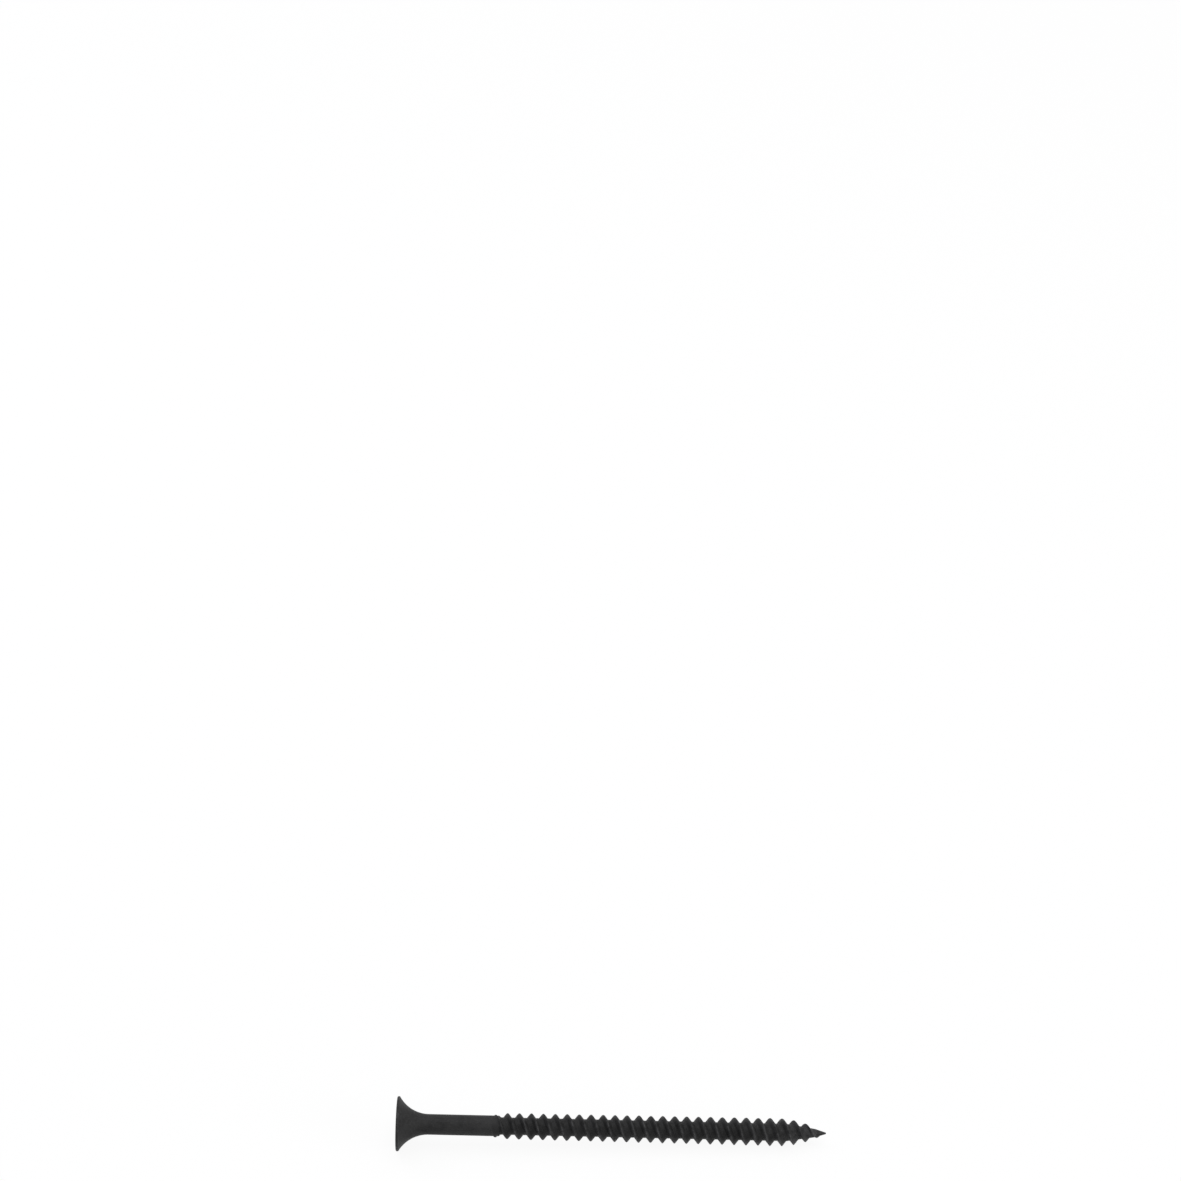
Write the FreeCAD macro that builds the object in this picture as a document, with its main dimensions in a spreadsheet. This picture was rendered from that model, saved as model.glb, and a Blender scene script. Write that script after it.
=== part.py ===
import FreeCAD, Part
import math
import os
import types

import Sketcher

# A drywall screw with a bugle head, a cross recess, a plain shank and a two-start right-hand
# thread that fades out on the shank and again at the sharp point.
# The screw is drawn along its own axis, X = 0 on the flat of the head and +X to the point, and is
# then laid down on the plane Z = 0 as it comes to rest: on the rim of the head and one crest, with
# the middle of its length over the origin.

Vector = FreeCAD.Vector
AXIS = Vector(1, 0, 0)
ORIGIN = Vector(0, 0, 0)

# Lengths in mm, angles in degrees. Stations along the axis are measured from the flat of the head
# unless the name says otherwise.
SIZES = {
    "length": (65.0, "flat of the head to the point"),
    "head_diameter": (8.15, "outside of the rim"),
    "rim_thickness": (0.36, "flat of the head to where the bugle curve begins"),
    "rim_bevel": (0.12, "broken upper edge of the rim"),
    "bugle_radius": (5.15, "hollow curve under the head, tangent to the shank"),
    "shank_diameter": (3.06, "plain shank"),
    "shank_end": (15.2, "station where the shank steps down to the core"),
    "shoulder_length": (0.8, "cone from the shank to the core"),
    "core_diameter": (2.57, "root of the thread"),
    "taper_length": (6.1, "from the point back to the full core"),
    "tip_length": (1.8, "from the point back to the steeper cone"),
    "tip_diameter": (1.24, "core where the steeper cone begins"),
    "tip_flat": (0.12, "blunt end of the point"),
    "thread_lead": (3.61, "advance in one turn, twice the spacing of the crests"),
    "thread_begin": (13.9, "station where the ridge leaves the shank"),
    "thread_end_gap": (0.55, "from the point back to the end of the ridge"),
    "low_crest_gap": (6.33, "from the point back to a crest that faces straight down"),
    "crest_diameter_shank": (3.97, "over the crests beside the shank"),
    "crest_diameter_point": (4.28, "over the crests beside the point"),
    "shank_fade": (3.5, "length over which the ridge rises from the shank"),
    "point_fade": (6.9, "length over which the ridge sinks to the point"),
    "flank_angle": (34.0, "flank at the crest, from the normal to the axis"),
    "foot_angle": (45.0, "flank at the core, from the normal to the axis"),
    "recess_across": (4.6, "over the wings at the flat of the head"),
    "recess_wing": (1.2, "width of a wing at the flat of the head"),
    "recess_depth": (2.3, "depth of the wings"),
    "recess_end_across": (2.3, "over the wings at their lower end"),
    "recess_end_wing": (0.86, "width of a wing at its lower end"),
    "recess_eye": (2.3, "round between the wings at the flat of the head"),
    "recess_end_eye": (1.5, "round between the wings at their lower end"),
    "recess_bottom": (0.4, "depth of the cone under the wings"),
}
STARTS = 2
STATIONS_PER_TURN = 16
EMBED = 0.12


def make_sheet(doc):
    sheet = doc.addObject("Spreadsheet::Sheet", "Sizes")
    for row, (alias, (value, note)) in enumerate(SIZES.items(), start=1):
        sheet.set(f"A{row}", alias)
        sheet.set(f"B{row}", str(value))
        sheet.set(f"C{row}", note)
        sheet.setAlias(f"B{row}", alias)
    doc.recompute()
    return sheet


def read_sizes(sheet):
    return types.SimpleNamespace(**{alias: float(sheet.get(alias)) for alias in SIZES})


def datum(body, role):
    return next(f for f in body.Origin.OriginFeatures if f.Role == role)


def new_sketch(body, name, plane):
    sketch = body.newObject("Sketcher::SketchObject", name)
    sketch.AttachmentSupport = [(datum(body, plane), "")]
    sketch.MapMode = "FlatFace"
    return sketch


def constrain(sketch, kind, *items):
    return sketch.addConstraint(Sketcher.Constraint(kind, *items))


def dimension(sketch, kind, items, expression):
    """A driving dimension, tied to the sheet by the expression."""
    value = float(sketch.evalExpression(expression))
    index = constrain(sketch, kind, *items, value)
    sketch.setExpression(f"Constraints[{index}]", expression)


def from_origin(sketch, kind, geo, end, expression):
    dimension(sketch, kind, (-1, 1, geo, end), expression)


def join_chain(sketch, chain):
    """Joins the end of each line or arc to the start of the next."""
    for first, second in zip(chain, chain[1:]):
        constrain(sketch, "Coincident", first, 2, second, 1)


def line(sketch, start, end):
    return sketch.addGeometry(Part.LineSegment(Vector(*start, 0), Vector(*end, 0)))


def polyline(sketch, points):
    return [line(sketch, a, b) for a, b in zip(points, points[1:])]


def arc(sketch, centre, radius, start_deg, end_deg):
    circle = Part.Circle(Vector(*centre, 0), Vector(0, 0, 1), radius)
    limits = (math.radians(start_deg), math.radians(end_deg))
    return sketch.addGeometry(Part.ArcOfCircle(circle, *limits))


def draw_outline(body, size):
    """Half of the axial section: rim, bugle curve, shank, shoulder, core and the two point cones."""
    s = new_sketch(body, "blank_outline", "XZ_Plane")
    rim_radius = size.head_diameter / 2
    shank_radius = size.shank_diameter / 2
    core_radius = size.core_diameter / 2
    rise = size.bugle_radius - (rim_radius - shank_radius)
    run = math.sqrt(size.bugle_radius**2 - rise**2)
    bugle_end = size.rim_thickness + run
    shoulder_end = size.shank_end + size.shoulder_length
    head = [
        (0, 0),
        (0, rim_radius - size.rim_bevel),
        (size.rim_bevel, rim_radius),
        (size.rim_thickness, rim_radius),
    ]
    stem = [
        (bugle_end, shank_radius),
        (size.shank_end, shank_radius),
        (shoulder_end, core_radius),
        (size.length - size.taper_length, core_radius),
        (size.length - size.tip_length, size.tip_diameter / 2),
        (size.length, size.tip_flat / 2),
        (size.length, 0),
        (0, 0),
    ]
    face, bevel, rim = polyline(s, head)
    centre = (bugle_end, shank_radius + size.bugle_radius)
    bugle = arc(s, centre, size.bugle_radius, 180 + math.degrees(math.atan2(rise, run)), 270)
    shank, shoulder, core, taper, tip, flat, axis = polyline(s, stem)

    constrain(s, "Coincident", face, 1, -1, 1)
    join_chain(s, [face, bevel, rim, bugle])
    join_chain(s, [shank, shoulder, core, taper, tip, flat, axis, face])
    constrain(s, "Tangent", bugle, 2, shank, 1)
    for level in (rim, shank, core, axis):
        constrain(s, "Horizontal", level)
    for upright in (face, flat):
        constrain(s, "Vertical", upright)

    dimension(s, "DistanceX", (bevel, 1, bevel, 2), "Sizes.rim_bevel")
    dimension(s, "DistanceY", (bevel, 1, bevel, 2), "Sizes.rim_bevel")
    dimension(s, "Radius", (bugle,), "Sizes.bugle_radius")
    from_origin(s, "DistanceX", rim, 2, "Sizes.rim_thickness")
    from_origin(s, "DistanceY", rim, 2, "Sizes.head_diameter / 2")
    from_origin(s, "DistanceX", shank, 2, "Sizes.shank_end")
    from_origin(s, "DistanceY", shank, 2, "Sizes.shank_diameter / 2")
    dimension(s, "DistanceX", (shoulder, 1, shoulder, 2), "Sizes.shoulder_length")
    from_origin(s, "DistanceY", core, 2, "Sizes.core_diameter / 2")
    from_origin(s, "DistanceX", core, 2, "Sizes.length - Sizes.taper_length")
    from_origin(s, "DistanceX", taper, 2, "Sizes.length - Sizes.tip_length")
    from_origin(s, "DistanceY", taper, 2, "Sizes.tip_diameter / 2")
    from_origin(s, "DistanceX", flat, 2, "Sizes.length")
    from_origin(s, "DistanceY", tip, 2, "Sizes.tip_flat / 2")
    return s


def draw_slot(body, name, size, across_size, wing_size):
    """A slot through the axis with round ends, one pair of opposite wings of the recess."""
    s = new_sketch(body, name, "YZ_Plane")
    across = getattr(size, across_size)
    wing = getattr(size, wing_size)
    reach = math.sqrt(across**2 - wing**2) / 2
    lean = math.degrees(math.asin(wing / across))
    right = arc(s, (0, 0), across / 2, -lean, lean)
    top = line(s, (reach, wing / 2), (-reach, wing / 2))
    left = arc(s, (0, 0), across / 2, 180 - lean, 180 + lean)
    bottom = line(s, (-reach, -wing / 2), (reach, -wing / 2))
    join_chain(s, [right, top, left, bottom, right])
    constrain(s, "Coincident", right, 3, -1, 1)
    constrain(s, "Coincident", left, 3, -1, 1)
    constrain(s, "Horizontal", top)
    constrain(s, "Horizontal", bottom)
    constrain(s, "Equal", right, left)
    dimension(s, "Radius", (right,), f"Sizes.{across_size} / 2")
    from_origin(s, "DistanceY", top, 1, f"Sizes.{wing_size} / 2")
    dimension(s, "DistanceY", (bottom, 2, -1, 1), f"Sizes.{wing_size} / 2")
    return s


def draw_eye(body, size):
    """Half of the round between the wings, closed by a shallow cone at the bottom."""
    s = new_sketch(body, "recess_eye_section", "XZ_Plane")
    points = [
        (0, 0),
        (0, size.recess_eye / 2),
        (size.recess_depth, size.recess_end_eye / 2),
        (size.recess_depth + size.recess_bottom, 0),
        (0, 0),
    ]
    mouth, wall, cone, axis = polyline(s, points)
    join_chain(s, [mouth, wall, cone, axis, mouth])
    constrain(s, "Coincident", mouth, 1, -1, 1)
    constrain(s, "Vertical", mouth)
    constrain(s, "Horizontal", axis)
    from_origin(s, "DistanceY", mouth, 2, "Sizes.recess_eye / 2")
    from_origin(s, "DistanceX", wall, 2, "Sizes.recess_depth")
    from_origin(s, "DistanceY", wall, 2, "Sizes.recess_end_eye / 2")
    from_origin(s, "DistanceX", cone, 2, "Sizes.recess_depth + Sizes.recess_bottom")
    return s


def turn_blank(body, size):
    turned = body.newObject("PartDesign::Revolution", "blank")
    turned.Profile = draw_outline(body, size)
    turned.ReferenceAxis = (datum(body, "X_Axis"), [""])
    turned.Angle = 360
    return turned


def cut_recess(body, size):
    """Two crossed slots that narrow with depth, and the round eye where they meet."""
    mouth = draw_slot(body, "recess_mouth", size, "recess_across", "recess_wing")
    end = draw_slot(body, "recess_end", size, "recess_end_across", "recess_end_wing")
    end.setExpression("AttachmentOffset.Base.z", "Sizes.recess_depth")
    wings = body.newObject("PartDesign::SubtractiveLoft", "recess_wings")
    wings.Profile = mouth
    wings.Sections = [end]
    wings.Ruled = True
    cross = body.newObject("PartDesign::PolarPattern", "recess_cross")
    cross.Originals = [wings]
    cross.Axis = (datum(body, "X_Axis"), [""])
    cross.Angle = 90
    body.Tip = cross
    cross.Occurrences = 2
    eye = body.newObject("PartDesign::Groove", "recess_eye")
    eye.Profile = draw_eye(body, size)
    eye.ReferenceAxis = (datum(body, "X_Axis"), [""])
    eye.Angle = 360
    return eye


class Thread:
    """The ridge's section at any station, from the sizes in the sheet."""

    def __init__(self, size):
        vars(self).update(vars(size))
        self.begin = self.thread_begin
        self.end = self.length - self.thread_end_gap
        self.low_crest = self.length - self.low_crest_gap
        self.contact = self.find_contact()

    def core(self, x):
        """Radius of the core under the thread."""
        radius = self.core_diameter / 2
        mid = self.tip_diameter / 2
        from_point = self.length - x
        if from_point >= self.taper_length:
            return radius
        if from_point >= self.tip_length:
            share = (from_point - self.tip_length) / (self.taper_length - self.tip_length)
            return mid + (radius - mid) * share
        return self.tip_flat / 2 + (mid - self.tip_flat / 2) * from_point / self.tip_length

    def crest(self, x):
        """Radius over the crests, rising out of the shank and sinking into the point."""
        share = (x - self.begin) / (self.end - self.begin)
        grown = self.crest_diameter_point - self.crest_diameter_shank
        full = (self.crest_diameter_shank + grown * share) / 2
        low = self.shank_diameter / 2 - EMBED / 2
        risen = low + (full - low) * fade((x - self.begin) / self.shank_fade)
        sunk = 0.97 * self.core(self.end)
        return sunk + (risen - sunk) * fade((self.end - x) / self.point_fade)

    def section(self, x):
        """Five points (station, radius): base, foot, crest, foot, base."""
        core = self.core(x)
        crest = self.crest(x)
        base = core - min(EMBED, 0.2 * core)
        foot = base + 0.25 * (crest - base)
        foot_reach = (crest - foot) * math.tan(math.radians(self.flank_angle))
        base_reach = foot_reach + (foot - base) * math.tan(math.radians(self.foot_angle))
        return [
            (x - base_reach, base),
            (x - foot_reach, foot),
            (x, crest),
            (x + foot_reach, foot),
            (x + base_reach, base),
        ]

    def find_contact(self):
        """Of the crests that face straight down, the one that the screw comes to rest on."""
        spacing = self.thread_lead / STARTS
        behind = math.floor((self.low_crest - self.begin) / spacing)
        ahead = math.floor((self.end - self.low_crest) / spacing)
        stations = [self.low_crest + spacing * i for i in range(-behind, ahead + 1)]
        return min(stations, key=self.slope_to)

    def slope_to(self, x):
        return (self.head_diameter / 2 - self.crest(x)) / (x - self.rim_thickness)

    def rest_angle(self):
        return math.degrees(math.atan(self.slope_to(self.contact)))

    def angle(self, x):
        """Right-hand turn about the axis, straight down at the low crest."""
        return 2 * math.pi * (x - self.low_crest) / self.thread_lead - math.pi / 2


def fade(share):
    """A quarter sine wave from 0 to 1."""
    return math.sin(math.pi / 2 * min(max(share, 0.0), 1.0))


def band(rails):
    """The surface that runs along the rails, straight or hollow across them."""
    across = len(rails) - 1
    surface = Part.BSplineSurface()
    surface.buildFromPolesMultsKnots(
        [rail.getPoles() for rail in rails],
        [across + 1, across + 1],
        rails[0].getMultiplicities(),
        [0.0, 1.0],
        rails[0].getKnots(),
        False,
        False,
        across,
        rails[0].Degree,
    )
    return surface


def make_rails(thread, turns):
    """Curves through the section's points at even stations, one curve for each point."""
    steps = math.ceil(turns * STATIONS_PER_TURN)
    rows = []
    for i in range(steps + 1):
        x = thread.begin + (thread.end - thread.begin) * i / steps
        turn = thread.angle(x)
        side = Vector(0, math.cos(turn), math.sin(turn))
        rows.append([AXIS * station + side * radius for station, radius in thread.section(x)])
    parameters = [turns * i / steps for i in range(steps + 1)]
    rails = []
    for points in zip(*rows):
        rail = Part.BSplineCurve()
        rail.interpolate(Points=list(points), Parameters=parameters)
        rails.append(rail)
    return rails


def make_ridge(thread):
    """One start of the thread: a solid ridge with hollow flanks, let into the core."""
    turns = (thread.end - thread.begin) / thread.thread_lead
    rails = make_rails(thread, turns)
    bands = [band(rails[0:3]), band(rails[2:5]), band([rails[4], rails[0]])]
    cuts = list(range(math.ceil(turns))) + [turns]
    faces = [b.toShape(0, 1, low, high) for low, high in zip(cuts, cuts[1:]) for b in bands]
    for cut in (cuts[0], cuts[-1]):
        edges = [b.vIso(cut).toShape() for b in bands]
        faces.append(Part.Face(Part.Wire(Part.__sortEdges__(edges))))
    shell = Part.Shell(faces)
    shell.sewShape()
    ridge = Part.Solid(shell)
    if ridge.Volume < 0:
        ridge.reverse()
    return ridge


def add_ridges(doc, thread):
    ridge = make_ridge(thread)
    features = []
    for start in range(STARTS):
        feature = doc.addObject("Part::Feature", f"thread_start_{start + 1}")
        feature.Shape = ridge
        turn = FreeCAD.Rotation(AXIS, 360 * start / STARTS)
        feature.Placement = FreeCAD.Placement(ORIGIN, turn)
        features.append(feature)
    return features


def rest_placement(thread):
    """Lays the screw down so that the rim and one crest touch Z = 0, its middle over the origin."""
    angle = math.radians(thread.rest_angle())
    rim = thread.head_diameter / 2
    drop = thread.rim_thickness * math.sin(angle) + rim * math.cos(angle)
    back = (thread.rim_bevel - rim) * math.sin(angle)
    front = thread.length * math.cos(angle) + thread.tip_flat / 2 * math.sin(angle)
    lean = FreeCAD.Rotation(Vector(0, 1, 0), thread.rest_angle())
    return FreeCAD.Placement(Vector(-(back + front) / 2, 0, drop), lean)


def check(doc):
    for item in doc.Objects:
        if {"Invalid", "Error"} & set(item.State):
            raise RuntimeError(f"{item.Name} did not compute: {item.State}")
        shape = getattr(item, "Shape", None)
        if shape is not None and (shape.isNull() or not shape.isValid()):
            raise RuntimeError(f"{item.Name} has no valid shape")


def main():
    doc = FreeCAD.newDocument("DrywallScrew")
    size = read_sizes(make_sheet(doc))
    body = doc.addObject("PartDesign::Body", "blank_body")
    turned = turn_blank(body, size)
    eye = cut_recess(body, size)
    doc.recompute()
    if not eye.Shape.Volume < turned.Shape.Volume:
        raise RuntimeError("the recess cut nothing")

    thread = Thread(size)
    screw = doc.addObject("Part::MultiFuse", "drywall_screw")
    screw.Label = "drywall_screw"
    screw.Shapes = [body, *add_ridges(doc, thread)]
    screw.Placement = rest_placement(thread)
    doc.recompute()
    check(doc)
    if len(screw.Shape.Solids) != 1:
        raise RuntimeError("the screw is not one solid")
    os.makedirs("parts", exist_ok=True)
    screw.Shape.exportStep(f"parts/{screw.Label}.step")


main()
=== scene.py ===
import math

import bpy
import numpy as np
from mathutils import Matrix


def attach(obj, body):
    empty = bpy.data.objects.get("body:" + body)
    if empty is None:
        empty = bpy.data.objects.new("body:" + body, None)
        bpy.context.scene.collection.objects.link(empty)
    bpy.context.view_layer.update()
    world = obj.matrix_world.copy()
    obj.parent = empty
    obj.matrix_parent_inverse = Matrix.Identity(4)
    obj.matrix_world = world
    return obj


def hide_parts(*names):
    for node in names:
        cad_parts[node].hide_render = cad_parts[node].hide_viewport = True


# The screw's surface again, finer than the solid: rounded crests, a soft foot to each flank, a
# short shoulder, a rounded rim and tip, and eased edges in the cross recess, in matt black
# phosphate.

MM = 0.001
TAU = 2 * math.pi

# Lengths are in mm and angles in degrees. A station is a distance along the screw's own axis,
# from the flat of the head.
LENGTH = 65.0

# Head: the rim is rounded in front and eased behind, and the hollow bugle curve runs down from it.
HEAD_RADIUS = 4.075
RIM_THICKNESS = 0.36
RIM_ROUND = 0.16
RIM_EDGE = 0.12
BUGLE_RADIUS = 5.15

# Stem: the shank, a short shoulder, the core under the thread, and the cone of the point, which
# would have the radius TIP_FLAT at its end if the tip weren't rounded.
SHANK_RADIUS = 1.53
SHANK_END = 15.4
SHOULDER = 0.3
CORE_RADIUS = 1.285
TAPER_LENGTH = 6.1
TIP_LENGTH = 1.8
TIP_RADIUS = 0.62
TIP_FLAT = 0.06
TIP_ROUND = 0.14

# Thread: two starts half a turn apart. Each ridge rises out of the shank and sinks into the
# point, and the first start does both sooner. The screw rests on the crest at LOW_CREST.
LEAD = 3.61
RIDGE_BEGIN = 13.9
RIDGE_END = LENGTH - 0.55
CREST_RADIUS_SHANK = 1.985
CREST_RADIUS_POINT = 2.14
SHANK_FADE = 3.5
POINT_FADE = 6.9
POINT_LAW = 0.85
FIRST_RISE = 0.7
FIRST_END = LENGTH - 1.4
FIRST_FADE = 1.6
LOW_CREST = LENGTH - 6.33

# Share of the core's radius at which a ridge has sunk out of sight.
SUNK_SHARE = 0.97

# The most that a crest stands lower than its law, and the radians per mm of two waves in it.
UNEVEN = 0.04
SHORT_WAVE = 5.1
LONG_WAVE = 2.3

# Section of a ridge: a rounded crest, steep flanks, a wider foot, and a base below the core. The
# foot's height is a share of the ridge's. The other shares keep the base and the foot's rounding
# small where the core is thin.
FLANK_ANGLE = 34.0
FOOT_ANGLE = 45.0
FOOT_SHARE = 0.25
EMBED = 0.12
EMBED_SHARE = 0.2
CREST_ROUND = 0.035
CREST_SHIFT = 0.45 * CREST_ROUND
FOOT_ROUND = 0.22
FOOT_ROUND_SHARE = 0.12

# Cross recess: at its mouth and its end, the reach of a wing, half its width, and the radius of
# the round eye. The rings down its wall lie at shares of its depth. A shallow cone closes the
# bottom, and begins a little lower and narrower than the eye.
RECESS_DEPTH = 2.3
RECESS_BOTTOM = 0.4
RECESS_MOUTH = (2.3, 0.6, 1.15)
RECESS_END = (1.15, 0.43, 0.75)
RECESS_SHARES = (0.15, 0.35, 0.6, 0.85, 1.0)
CONE_DROP = 0.02
CONE_SHARE = 0.98

# Rings down the eased edge of the recess: depth, width beyond the wall, and wear.
MOUTH_EASE = 0.05
MOUTH_EDGE = ((0.0, MOUTH_EASE, 0.5), (0.012, 0.3 * MOUTH_EASE, 0.8), (MOUTH_EASE, 0.0, 0.3))

# Width of the narrow rings beside the rim and the recess that keep the flat between them plain.
FLAT_GUARD = 0.07

# Wear, from 0 to 1: on the rim, over the last WORN_LENGTH to the tip, and on ridges, where it is
# full at WORN_HEIGHT above the core.
RIM_WEAR = 0.35
POINT_WEAR = 0.75
WORN_LENGTH = 12.0
WORN_HEIGHT = 0.7

# How the screw lies: the dip of its axis towards the point, and the place of the flat's middle.
REST_ANGLE = 1.9782682
REST_BASE = (-32.413401, 0.0, 4.084999)

# Fineness of the mesh: points in a ring, and rings or points along each stretch.
THREAD_COLUMNS = 72
HEAD_COLUMNS = 144
RIM_STEPS = 9
EDGE_STEPS = 6
BUGLE_STEPS = 32
SHANK_STEPS = 16
TIP_STEPS = 6
WING_END_STEPS = 9
WING_SIDE_STEPS = 8
EYE_STEPS = 5

# From the head to the first ring of the shank, and from the first fine ring to the ridges.
SHANK_GAP = 0.25
LEAD_IN = 0.7

# Edges that turn by more than this stay sharp.
SHARP_ANGLE = 38.0

# Where the drawn lines of the wire fade out towards the thread and the painted shade between its
# ridges sets in, along X in the part's frame.
SHANK_FROM = -18.5
SHANK_TO = -17.2

# The coating: the dark and the light of its mottle, its drawn lines, flecks and rubbed crests.
MOTTLE_DARK = (0.0151, 0.0151, 0.0152, 1)
MOTTLE_LIGHT = (0.0276, 0.0276, 0.0278, 1)
DRAWN_LINE = (0.0342, 0.0342, 0.0345, 1)
FLECK = (0.0465, 0.0465, 0.0470, 1)
RUBBED = (0.0925, 0.0925, 0.0945, 1)
# Black, for the painted shade on the thread.
SHADE_BLACK = (0, 0, 0, 1)

# How much painted shade darkens the thread against the shank, standing in for the shade between its
# ridges.
THREAD_PAINTED_SHADE = 0.17

# The photograph's camera: its frame, focal length and scale in pixels, its dip, and the pixel on
# which the middle of the screw falls.
FRAME_PIXELS = 1181
FOCAL_PIXELS = 2663.0
PIXELS_PER_MM = 6.624
CAMERA_DIP = 38.459
SCREW_PIXEL = (611.75, 1128.35)
SCREW_MIDDLE = (0.0, 0.0, 3.0)
SENSOR_WIDTH = 36.0

# The floor in metres, just below the screw. The camera sees this share of it as plain white, and
# the rest shows the screw's shadow.
FLOOR_SIZE = 12.0
FLOOR_HEIGHT = -0.00001
FLOOR_COLOUR = (0.94, 0.94, 0.94, 1)
FLOOR_WHITE = 0.92
WHITE = (1, 1, 1, 1)

# Strength of the light that comes from all around.
SKY_LIGHT = 0.38


def fade(share):
    """A quarter sine wave from 0 to 1."""
    return np.sin(math.pi / 2 * np.clip(share, 0.0, 1.0))


def core_radius(x):
    """The core, the taper of the point and the steeper cone at its end."""
    from_point = LENGTH - x
    taper = (from_point - TIP_LENGTH) / (TAPER_LENGTH - TIP_LENGTH)
    slow = TIP_RADIUS + (CORE_RADIUS - TIP_RADIUS) * np.clip(taper, 0.0, 1.0)
    steep = TIP_FLAT + (TIP_RADIUS - TIP_FLAT) * from_point / TIP_LENGTH
    return np.where(from_point < TIP_LENGTH, steep, slow)


def stem_radius(x):
    """The plain turned surface from the shank to the point."""
    share = np.clip((x - SHANK_END) / SHOULDER, 0.0, 1.0)
    shank = SHANK_RADIUS + (CORE_RADIUS - SHANK_RADIUS) * share
    return np.where(x < SHANK_END + SHOULDER, shank, core_radius(x))


def crest_radius(x, first):
    """Radius over the crests of the first start or the other, both a little uneven."""
    share = (x - RIDGE_BEGIN) / (RIDGE_END - RIDGE_BEGIN)
    full = CREST_RADIUS_SHANK + (CREST_RADIUS_POINT - CREST_RADIUS_SHANK) * share
    from_low = x - LOW_CREST
    full = full - UNEVEN * (2 - np.cos(SHORT_WAVE * from_low) - np.cos(LONG_WAVE * from_low)) / 4
    low = SHANK_RADIUS - EMBED / 2
    rise = fade((x - RIDGE_BEGIN) / SHANK_FADE)
    risen = low + (full - low) * np.where(first, rise**FIRST_RISE, rise)
    sunk = SUNK_SHARE * core_radius(RIDGE_END)
    crest = sunk + (risen - sunk) * fade((RIDGE_END - x) / POINT_FADE) ** POINT_LAW
    flush = SUNK_SHARE * core_radius(x)
    return np.where(first, flush + (crest - flush) * fade((FIRST_END - x) / FIRST_FADE), crest)


def soft_max(a, b, width):
    """The larger of two values, rounded off where they differ by less than a width."""
    near = np.maximum(width - np.abs(a - b), 0.0) / width
    return np.maximum(a, b) + near * near * width / 4


def thread_surface(x, turn):
    """Radius and wear at a station and angle."""
    spacing = LEAD / 2
    ahead = (x - LOW_CREST) - LEAD * (turn + math.pi / 2) / TAU
    number = np.round(ahead / spacing)
    aside = ahead - number * spacing
    middle = x - aside
    crest = crest_radius(middle, number % 2 == 0)
    core = core_radius(middle)
    base = core - np.minimum(EMBED, EMBED_SHARE * core)
    foot = base + FOOT_SHARE * (crest - base)
    foot_reach = (crest - foot) * math.tan(math.radians(FLANK_ANGLE))
    base_reach = foot_reach + (foot - base) * math.tan(math.radians(FOOT_ANGLE))
    rounded = np.sqrt(aside**2 + CREST_ROUND**2) - CREST_SHIFT
    on_ridge = (middle > RIDGE_BEGIN) & (middle < RIDGE_END) & (rounded < base_reach)
    bend = base_reach - 2 * foot_reach
    inside = np.minimum(rounded, base_reach)
    along = (np.sqrt(foot_reach**2 + bend * inside) - foot_reach) / bend
    ridge = (1 - along) ** 2 * crest + 2 * along * (1 - along) * foot + along**2 * base
    ridge = np.where(on_ridge, ridge, 0.0)
    stem = stem_radius(x)
    radius = soft_max(ridge, stem, np.minimum(FOOT_ROUND, FOOT_ROUND_SHARE * stem))
    height = np.clip((ridge - stem) / WORN_HEIGHT, 0.0, 1.0)
    point = np.clip((x - LENGTH + WORN_LENGTH) / WORN_LENGTH, 0.0, 1.0)
    return radius, np.maximum(height**3, POINT_WEAR * point)


class Skin:
    """Points along the screw's own axis, with faces between neighbouring rings."""

    def __init__(self):
        self.points = []
        self.wear = []
        self.faces = []

    def ring(self, x, radius, turn, wear=0.0):
        """Adds a ring of points and returns their numbers."""
        x, radius, wear, turn = np.broadcast_arrays(x, radius, wear, turn)
        first = len(self.points)
        self.points.extend(np.stack([x, radius * np.cos(turn), radius * np.sin(turn)], 1).tolist())
        self.wear.extend(wear.tolist())
        return list(range(first, first + len(turn)))

    def join(self, before, after, lean=False):
        """Quads between two rings of the same count, or triangles that follow the thread."""
        count = len(before)
        for i in range(count):
            j = (i + 1) % count
            if lean:
                self.faces.append((before[i], before[j], after[j]))
                self.faces.append((before[i], after[j], after[i]))
            else:
                self.faces.append((before[i], before[j], after[j], after[i]))

    def zip(self, before, before_turn, after, after_turn):
        """Triangles between two rings of different counts, taken in order of angle."""
        i = j = 0
        while i < len(before) or j < len(after):
            next_i = before_turn[(i + 1) % len(before)] + TAU * ((i + 1) // len(before))
            next_j = after_turn[(j + 1) % len(after)] + TAU * ((j + 1) // len(after))
            a = before[i % len(before)]
            b = after[j % len(after)]
            if j >= len(after) or (i < len(before) and next_i <= next_j):
                self.faces.append((a, before[(i + 1) % len(before)], b))
                i += 1
            else:
                self.faces.append((a, after[(j + 1) % len(after)], b))
                j += 1

    def fan(self, ring, x, flip=False, wear=0.0):
        """Closes a ring with a point on the axis."""
        tip = len(self.points)
        self.points.append([x, 0.0, 0.0])
        self.wear.append(wear)
        for i in range(len(ring)):
            a, b = ring[i], ring[(i + 1) % len(ring)]
            self.faces.append((b, a, tip) if flip else (a, b, tip))


def even_turns(count):
    """Angles of evenly spaced points round a ring."""
    return np.arange(count) * TAU / count


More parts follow.
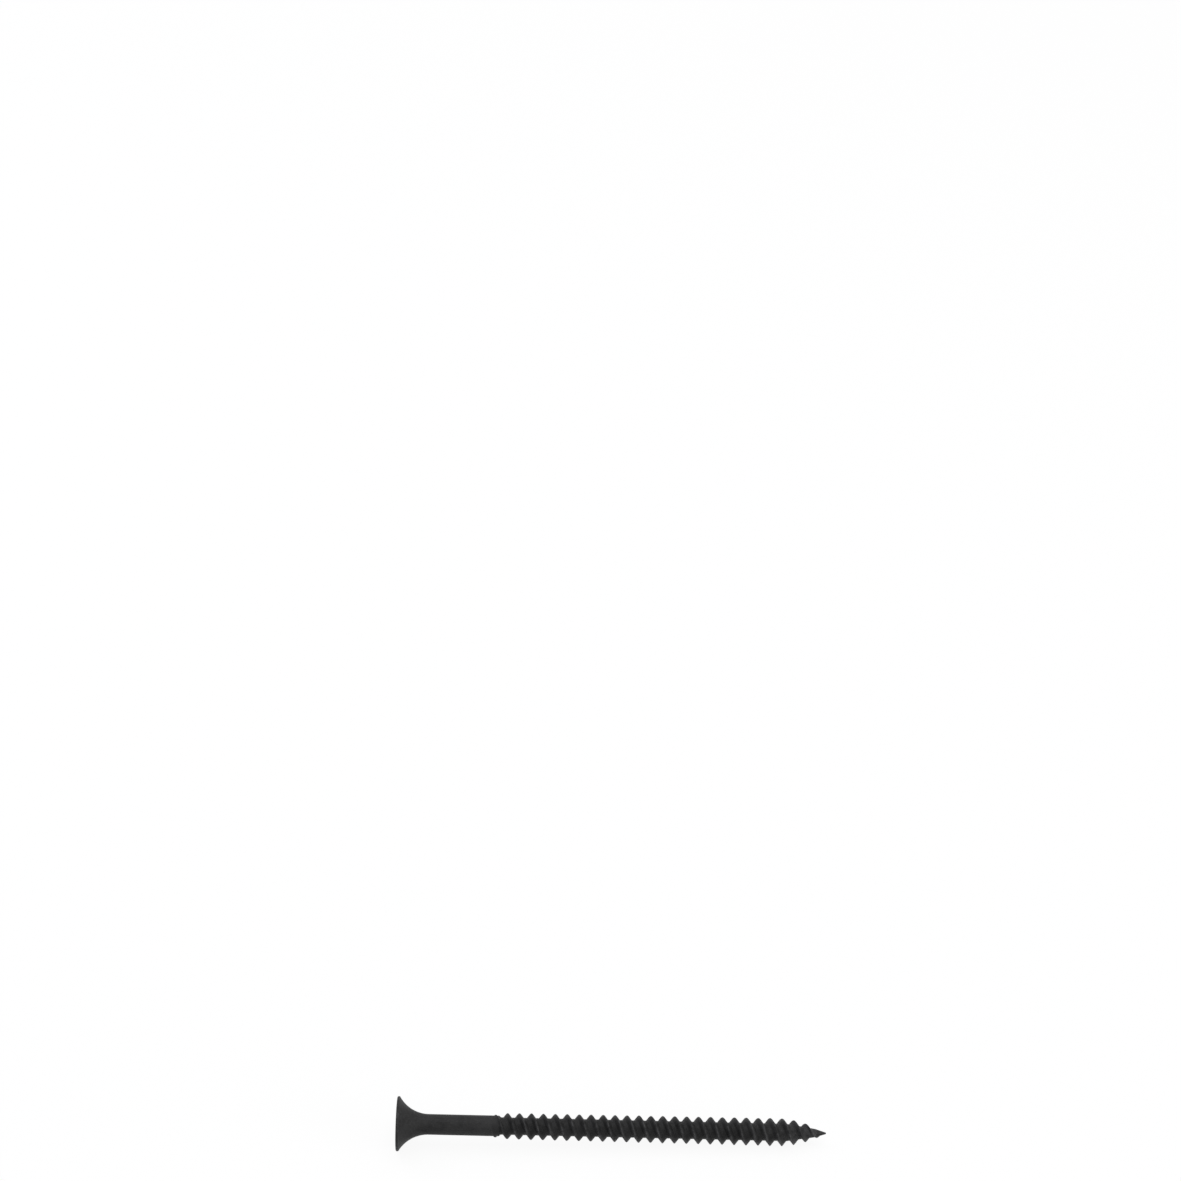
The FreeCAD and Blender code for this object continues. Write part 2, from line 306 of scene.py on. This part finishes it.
def cross_outline(share, ease=0.0):
    """Angles and radii around the cross at a share of its depth: round end, wing side, eye."""
    sizes = [top + (end - top) * share for top, end in zip(RECESS_MOUTH, RECESS_END)]
    reach, half_wing, eye = (value + ease for value in sizes)
    end_turn = math.asin(half_wing / reach)
    side_turn = math.asin(half_wing / eye)
    ends = np.linspace(-end_turn, end_turn, WING_END_STEPS)
    outer, inner = reach * math.cos(end_turn), eye * math.cos(side_turn)
    sides = np.arctan2(half_wing, np.linspace(outer, inner, WING_SIDE_STEPS)[1:])
    eyes = np.linspace(side_turn, math.pi / 2 - side_turn, EYE_STEPS)[1:-1]
    turn = np.concatenate([ends, sides, eyes, -sides[::-1] + math.pi / 2])
    side_radius = half_wing / np.sin(sides)
    end_radius, eye_radius = np.full(len(ends), reach), np.full(len(eyes), eye)
    radius = np.concatenate([end_radius, side_radius, eye_radius, side_radius[::-1]])
    turns = np.concatenate([turn + quarter * math.pi / 2 for quarter in range(4)])
    return turns, np.tile(radius, 4)


def add_recess(skin, face_ring, face_turns):
    """The flat of the head down into the cross recess."""
    rows = [(0.0, 0.0, MOUTH_EASE + FLAT_GUARD, 0.0)]
    rows += [(depth, 0.0, ease, wear) for depth, ease, wear in MOUTH_EDGE]
    rows += [(RECESS_DEPTH * share, share, 0.0, 0.0) for share in RECESS_SHARES]
    ring = None
    for depth, share, ease, wear in rows:
        turns, radii = cross_outline(share, ease)
        fresh = skin.ring(depth, radii, turns, wear)
        if ring is None:
            skin.zip(fresh, turns, face_ring, face_turns)
        else:
            skin.join(fresh, ring)
        ring = fresh
    eye = skin.ring(RECESS_DEPTH + CONE_DROP, CONE_SHARE * RECESS_END[2], turns)
    skin.join(eye, ring)
    skin.fan(eye, RECESS_DEPTH + RECESS_BOTTOM, flip=True)


def head_profile():
    """Stations and radii from the flat of the head over the rounded rim and down the bugle curve."""
    rise = BUGLE_RADIUS - (HEAD_RADIUS - SHANK_RADIUS)
    bugle_x = RIM_THICKNESS + math.sqrt(BUGLE_RADIUS**2 - rise**2)
    bugle_r = SHANK_RADIUS + BUGLE_RADIUS
    edge_r = HEAD_RADIUS - RIM_EDGE
    edge_x = bugle_x - math.sqrt((BUGLE_RADIUS + RIM_EDGE) ** 2 - (bugle_r - edge_r) ** 2)
    edge_turn = math.atan2(bugle_r - edge_r, bugle_x - edge_x)

    nose = np.linspace(math.pi, math.pi / 2, RIM_STEPS)
    edge = np.linspace(math.pi / 2, edge_turn, EDGE_STEPS)
    hollow = np.linspace(edge_turn, math.pi / 2, BUGLE_STEPS)[1:]
    xs = [RIM_ROUND + RIM_ROUND * np.cos(nose), edge_x + RIM_EDGE * np.cos(edge)]
    rs = [HEAD_RADIUS - RIM_ROUND + RIM_ROUND * np.sin(nose), edge_r + RIM_EDGE * np.sin(edge)]
    xs.append(bugle_x - BUGLE_RADIUS * np.cos(hollow))
    rs.append(bugle_r - BUGLE_RADIUS * np.sin(hollow))
    return np.concatenate(xs), np.concatenate(rs)


def tip_profile():
    """Stations and radii of the ball at the tip, from where it leaves the cone."""
    lean = math.atan((TIP_RADIUS - TIP_FLAT) / TIP_LENGTH)
    middle = LENGTH - (TIP_ROUND - TIP_FLAT * math.cos(lean)) / math.sin(lean)
    turn = np.linspace(lean, math.pi / 2, TIP_STEPS)
    return middle + TIP_ROUND * np.sin(turn), TIP_ROUND * np.cos(turn)


def add_head(skin, turns):
    """The head with its recess. Returns the ring at the foot of the bugle curve and its station."""
    xs, rs = head_profile()
    rim_wear = RIM_WEAR * np.clip((rs - HEAD_RADIUS + RIM_ROUND) / RIM_ROUND, 0.0, 1.0) ** 2
    rings = [skin.ring(x, r, turns, wear) for x, r, wear in zip(xs, rs, rim_wear)]
    for before, after in zip(rings, rings[1:]):
        skin.join(before, after)
    guard = skin.ring(0.0, rs[0] - FLAT_GUARD, turns)
    skin.join(guard, rings[0])
    add_recess(skin, guard, turns)
    return rings[-1], xs[-1]


def add_stem(skin, ring, turns, start):
    """Shank, thread and point, on from the head's last ring at its station."""
    columns = even_turns(THREAD_COLUMNS)
    step = LEAD / THREAD_COLUMNS
    begin = RIDGE_BEGIN - LEAD_IN
    plain = np.linspace(start + SHANK_GAP, begin - step, SHANK_STEPS)
    tip_xs, tip_rs = tip_profile()
    ridged = np.arange(begin, tip_xs[0] - 0.5 * step, step)
    for number, x in enumerate(np.concatenate([plain, ridged])):
        radius, wear = thread_surface(x, columns)
        fresh = skin.ring(x, radius, columns, wear)
        if number == 0:
            skin.zip(ring, turns, fresh, columns)
        else:
            skin.join(ring, fresh, lean=x >= begin)
        ring = fresh
    for x, radius in zip(tip_xs[:-1], tip_rs):
        fresh = skin.ring(x, radius, columns, POINT_WEAR)
        skin.join(ring, fresh)
        ring = fresh
    skin.fan(ring, tip_xs[-1], wear=POINT_WEAR)


def build_skin():
    """The whole surface, closed from the bottom of the recess to the tip."""
    skin = Skin()
    turns = even_turns(HEAD_COLUMNS)
    ring, start = add_head(skin, turns)
    add_stem(skin, ring, turns, start)
    return skin


def laid_down(points):
    """From the screw's own axis to the part's frame, in metres."""
    lean = math.radians(REST_ANGLE)
    x, y, z = np.array(points).T
    along = x * math.cos(lean) + z * math.sin(lean) + REST_BASE[0]
    up = z * math.cos(lean) - x * math.sin(lean) + REST_BASE[2]
    return np.stack([along, y + REST_BASE[1], up], 1) * MM


def make_screw():
    """The mesh of the screw, with its wear as an attribute that the coating reads."""
    skin = build_skin()
    mesh = bpy.data.meshes.new("screw_skin")
    mesh.from_pydata(laid_down(skin.points).tolist(), [], skin.faces)
    mesh.validate()
    worn = mesh.attributes.new("worn", "FLOAT", "POINT")
    worn.data.foreach_set("value", np.array(skin.wear, dtype=np.float32))
    mesh.shade_smooth()
    mesh.set_sharp_from_angle(angle=math.radians(SHARP_ANGLE))
    screw = bpy.data.objects.new("screw_skin", mesh)
    bpy.context.collection.objects.link(screw)
    return screw


class Nodes:
    """Short ways to add and link shader nodes."""

    def __init__(self, tree):
        self.tree = tree
        tree.nodes.clear()

    def add(self, kind, links=None, **settings):
        """Adds a node. A link's value is another node's socket or a plain value."""
        node = self.tree.nodes.new(kind)
        for key, value in settings.items():
            setattr(node, key, value)
        for socket, value in (links or {}).items():
            if isinstance(value, bpy.types.NodeSocket):
                self.tree.links.new(value, node.inputs[socket])
            else:
                node.inputs[socket].default_value = value
        return node

    def noise(self, place, scale, detail, rough):
        links = {"Vector": place, "Scale": scale, "Detail": detail, "Roughness": rough}
        return self.add("ShaderNodeTexNoise", links).outputs["Fac"]

    def spread(self, value, low, high, to_low=0.0, to_high=1.0):
        links = {0: value, 1: low, 2: high, 3: to_low, 4: to_high}
        return self.add("ShaderNodeMapRange", links).outputs[0]

    def math(self, operation, a, b):
        return self.add("ShaderNodeMath", {0: a, 1: b}, operation=operation).outputs[0]

    def multiply_vector(self, value, factors):
        links = {0: value, 1: factors}
        return self.add("ShaderNodeVectorMath", links, operation="MULTIPLY").outputs[0]

    def along(self, place):
        return self.add("ShaderNodeSeparateXYZ", {0: place}).outputs["X"]

    def mix(self, factor, a, b):
        return self.add("ShaderNodeMix", {0: factor, 6: a, 7: b}, data_type="RGBA").outputs[2]


def black_phosphate():
    """Matt dark grey crystals, a little mottled, with faint drawn lines along the shank, painted
    shade on the thread for the shade between its ridges, and rubbed lighter along the crests, on the
    rim and at the point."""
    material = bpy.data.materials.new("black_phosphate")
    material.use_nodes = True
    n = Nodes(material.node_tree)
    place = n.add("ShaderNodeTexCoord").outputs["Object"]
    worn = n.add("ShaderNodeAttribute", attribute_name="worn").outputs["Fac"]

    # A noise's scale is in cells per metre, so a cloud is about 3 mm and a grain 0.1 mm across.
    cloud = n.noise(place, 300.0, detail=5.0, rough=0.65)
    patch = n.noise(place, 1100.0, detail=3.0, rough=0.6)
    speck = n.noise(place, 3200.0, detail=3.0, rough=0.7)
    grain = n.noise(place, 9000.0, detail=2.0, rough=0.6)
    drawn = n.multiply_vector(place, (0.04, 1.0, 1.0))
    streak = n.noise(drawn, 4200.0, detail=2.0, rough=0.5)
    on_shank = n.spread(n.along(place), SHANK_FROM * MM, SHANK_TO * MM, 1.0, 0.0)
    # Painted shade: the thread is darkened towards black for the shade that falls between its
    # ridges.
    painted_shade = n.spread(n.along(place), SHANK_FROM * MM, SHANK_TO * MM, 0.0, THREAD_PAINTED_SHADE)

    mottle = n.spread(n.math("ADD", cloud, n.math("MULTIPLY", patch, 0.6)), 0.6, 1.0)
    colour = n.mix(mottle, MOTTLE_DARK, MOTTLE_LIGHT)
    lines = n.math("MULTIPLY", on_shank, n.spread(streak, 0.45, 0.7, 0.0, 0.45))
    colour = n.mix(lines, colour, DRAWN_LINE)
    fleck = n.math("MULTIPLY", n.spread(speck, 0.56, 0.74), 0.5)
    colour = n.mix(fleck, colour, FLECK)
    colour = n.mix(painted_shade, colour, SHADE_BLACK)
    rubbed = n.math("MULTIPLY", worn, n.spread(patch, 0.4, 0.64, 0.1, 0.55))
    colour = n.mix(rubbed, colour, RUBBED)
    rough = n.spread(n.math("ADD", cloud, n.math("MULTIPLY", grain, 0.6)), 0.5, 1.1, 0.45, 0.62)
    rough = n.math("SUBTRACT", rough, n.math("MULTIPLY", rubbed, 0.12))

    fine = n.add("ShaderNodeBump", {"Height": grain, "Strength": 0.4, "Distance": 0.00002})
    wide = {"Height": speck, "Strength": 0.35, "Distance": 0.00004, "Normal": fine.outputs[0]}
    bump = n.add("ShaderNodeBump", wide).outputs[0]
    links = {
        "Base Color": colour,
        "Roughness": rough,
        "Metallic": 0.0,
        "Specular IOR Level": 0.1,
        "Normal": bump,
    }
    shader = n.add("ShaderNodeBsdfPrincipled", links)
    n.add("ShaderNodeOutputMaterial", {"Surface": shader.outputs[0]})
    return material


def seen(n):
    """1 for what the camera sees, itself or in a gloss or through glass, and 0 for what lights."""
    path = n.add("ShaderNodeLightPath").outputs
    direct = n.math("MAXIMUM", path["Is Camera Ray"], path["Is Glossy Ray"])
    return n.math("MAXIMUM", direct, path["Is Transmission Ray"])


def make_floor():
    """A pale floor, plain white to the camera except for the screw's shadow."""
    bpy.ops.mesh.primitive_plane_add(size=FLOOR_SIZE, location=(0, 0, FLOOR_HEIGHT))
    floor = bpy.context.object
    floor.name = "floor"
    material = bpy.data.materials.new("floor_white")
    material.use_nodes = True
    n = Nodes(material.node_tree)
    plain = n.add("ShaderNodeBsdfDiffuse", {"Color": FLOOR_COLOUR}).outputs[0]
    white = n.add("ShaderNodeEmission", {"Color": WHITE, "Strength": 1.0}).outputs[0]
    share = n.math("MULTIPLY", seen(n), FLOOR_WHITE)
    mixed = n.add("ShaderNodeMixShader", {0: share, 1: plain, 2: white}).outputs[0]
    n.add("ShaderNodeOutputMaterial", {"Surface": mixed})
    floor.data.materials.append(material)
    return floor


def make_world():
    """Even light from all around, plain white to the camera."""
    world = bpy.data.worlds.new("studio")
    bpy.context.scene.world = world
    world.use_nodes = True
    n = Nodes(world.node_tree)
    strength = n.spread(seen(n), 0.0, 1.0, SKY_LIGHT, 1.0)
    sky = n.add("ShaderNodeBackground", {"Color": WHITE, "Strength": strength})
    n.add("ShaderNodeOutputWorld", {"Surface": sky.outputs[0]})


def add_softbox(name, place, size, power, colour=(1, 1, 1)):
    """A wide lamp that points at the origin, under the screw. Its place and size are in metres."""
    light = bpy.data.lights.new(name, "AREA")
    light.shape = "RECTANGLE"
    light.size, light.size_y = size
    light.energy = power
    light.color = colour
    lamp = bpy.data.objects.new(name, light)
    bpy.context.collection.objects.link(lamp)
    lamp.location = place
    inwards = -lamp.location
    lamp.rotation_euler = inwards.to_track_quat("-Z", "Y").to_euler()


def make_camera():
    """The photograph's viewing angle, with the screw where the photograph has it."""
    data = bpy.data.cameras.new("camera")
    data.sensor_fit = "HORIZONTAL"
    data.sensor_width = SENSOR_WIDTH
    data.lens = SENSOR_WIDTH * FOCAL_PIXELS / FRAME_PIXELS
    data.clip_start = 0.01
    data.clip_end = 50.0
    camera = bpy.data.objects.new("camera", data)
    bpy.context.collection.objects.link(camera)
    dip = math.radians(CAMERA_DIP)
    right = np.array([1.0, 0.0, 0.0])
    up = np.array([0.0, math.sin(dip), math.cos(dip)])
    ahead = np.array([0.0, math.cos(dip), -math.sin(dip)])
    aside = (SCREW_PIXEL[0] - FRAME_PIXELS / 2) / PIXELS_PER_MM
    below = (SCREW_PIXEL[1] - FRAME_PIXELS / 2) / PIXELS_PER_MM
    back = FOCAL_PIXELS / PIXELS_PER_MM
    place = np.array(SCREW_MIDDLE) - aside * right + below * up - back * ahead
    camera.location = (place * MM).tolist()
    camera.rotation_euler = (math.pi / 2 - dip, 0, 0)
    bpy.context.scene.camera = camera


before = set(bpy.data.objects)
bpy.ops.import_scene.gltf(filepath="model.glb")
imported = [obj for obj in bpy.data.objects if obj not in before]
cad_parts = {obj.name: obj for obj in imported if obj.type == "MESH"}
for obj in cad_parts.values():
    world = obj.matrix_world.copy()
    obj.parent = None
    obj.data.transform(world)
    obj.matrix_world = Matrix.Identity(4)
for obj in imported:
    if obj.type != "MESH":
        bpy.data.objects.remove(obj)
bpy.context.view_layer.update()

screw = make_screw()
screw.data.materials.append(black_phosphate())
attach(screw, "root")
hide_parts("drywall_screw")

make_floor()
make_world()
add_softbox("key", (0.0, 0.15, 0.9), (0.8, 0.8), 4.4)
add_softbox("side", (0.75, -0.35, 0.3), (0.5, 0.4), 2.9)
add_softbox("back", (-0.6, 0.35, 0.6), (0.6, 0.4), 2.1, (0.89, 0.89, 1.0))
make_camera()
bpy.context.scene.view_settings.view_transform = "Standard"
